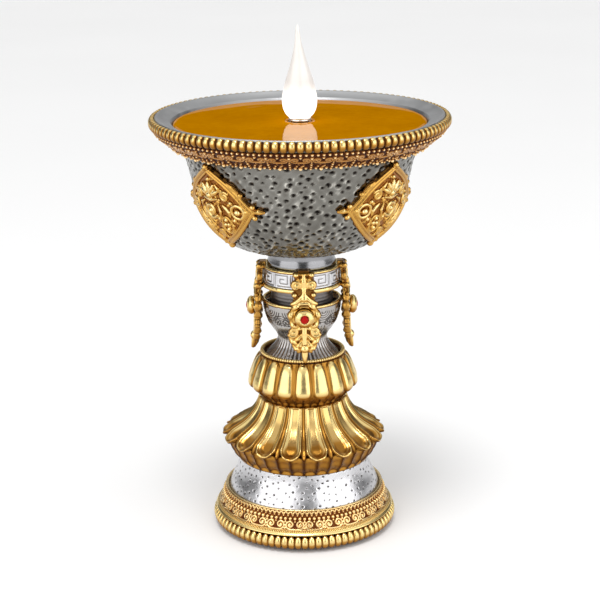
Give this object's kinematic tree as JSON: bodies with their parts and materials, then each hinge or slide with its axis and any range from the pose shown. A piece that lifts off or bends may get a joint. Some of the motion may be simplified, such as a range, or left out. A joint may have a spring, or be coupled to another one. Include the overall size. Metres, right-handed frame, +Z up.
{
  "type": "butter lamp",
  "caption": "Electric butter lamp: a hammered metal chalice on a gilt lotus stem, with a lift-out battery light unit, an amber butter disc and a pull-out flame bulb.",
  "frame": {"origin": "centre of the underside of the felt pad, on the surface the lamp stands on", "axes": "+Z up along the stem's axis, -Y towards the front, where one strap ornament faces the viewer"},
  "size_m": [0.105, 0.105, 0.1816],
  "materials": {
    "gold": "polished gilt with brown antiquing in the recesses",
    "antique_gold": "gilt filigree with dark brown antiquing",
    "silver": "polished silver plate, hammered or engraved",
    "pewter": "satin pewter with punched dimples",
    "dark_pewter": "dull grey metal",
    "steel": "zinc-plated steel",
    "chrome": "bright chrome plate",
    "felt": "short felt",
    "butter": "translucent amber resin, glossy",
    "black_plastic": "fine moulded texture",
    "white_plastic": "smooth moulded plastic",
    "flame": "milky translucent diffuser, lit from inside",
    "led": "clear epoxy over a phosphor",
    "circuit_board": "solder-masked laminate",
    "cell_wrap": "shrink-wrapped cell",
    "gem": "polished red glass"
  },
  "bodies": {
    "chalice": {"base_band": "gold", "base_bead_ring": "gold", "base_lace_ring": "antique_gold", "base_pad": "felt", "base_plate": "steel", "base_skirt": "silver", "boss_back": "gold", "boss_front": "gold", "boss_left": "gold", "boss_right": "gold", "bowl": "pewter", "bowl_rim_beads": "gold", "bowl_rim_lace": "antique_gold", "drum_band": "silver", "drum_lower_rim": "gold", "drum_top_rim": "gold", "gem_back": "gem", "gem_front": "gem", "gem_left": "gem", "gem_right": "gem", "lower_lotus": "gold", "neck_collar": "silver", "neck_core": "dark_pewter", "neck_vase": "silver", "plaque_back_left": "gold", "plaque_back_right": "gold", "plaque_front_left": "gold", "plaque_front_right": "gold", "stem_nut_lower": "steel", "stem_nut_upper": "steel", "stem_tie_rod": "steel", "stem_washer_lower": "steel", "stem_washer_upper": "steel", "strap_back": "gold", "strap_front": "gold", "strap_left": "gold", "strap_right": "gold", "upper_lotus": "gold", "upper_lotus_rim": "gold", "vase_lip": "gold"},
    "light_unit": {"butter_disc": "butter", "puck_housing": "black_plastic", "battery_door": "black_plastic", "door_screw_left": "steel", "door_screw_right": "steel", "cell_front": "cell_wrap", "cell_middle": "cell_wrap", "cell_back": "cell_wrap", "contact_strip_left": "chrome", "contact_strip_right": "chrome", "cell_holder": "black_plastic", "flame_socket": "chrome", "driver_board": "circuit_board", "switch_body": "black_plastic"},
    "flame_bulb": {"flame_diffuser": "flame", "flame_collar": "chrome", "flame_plug": "black_plastic", "flame_led": "led"},
    "switch": {"switch_knob": "white_plastic"}
  },
  "joints": [
    {"name": "insert_lift", "type": "slide", "parent": "chalice", "child": "light_unit", "axis": [0, 0, 1], "range_m": [0, 0.045]},
    {"name": "flame_pull", "type": "slide", "parent": "light_unit", "child": "flame_bulb", "axis": [0, 0, 1], "range_m": [0, 0.02]},
    {"name": "switch_slide", "type": "slide", "parent": "light_unit", "child": "switch", "axis": [1, 0, 0], "range_m": [0, 0.003]}
  ]
}
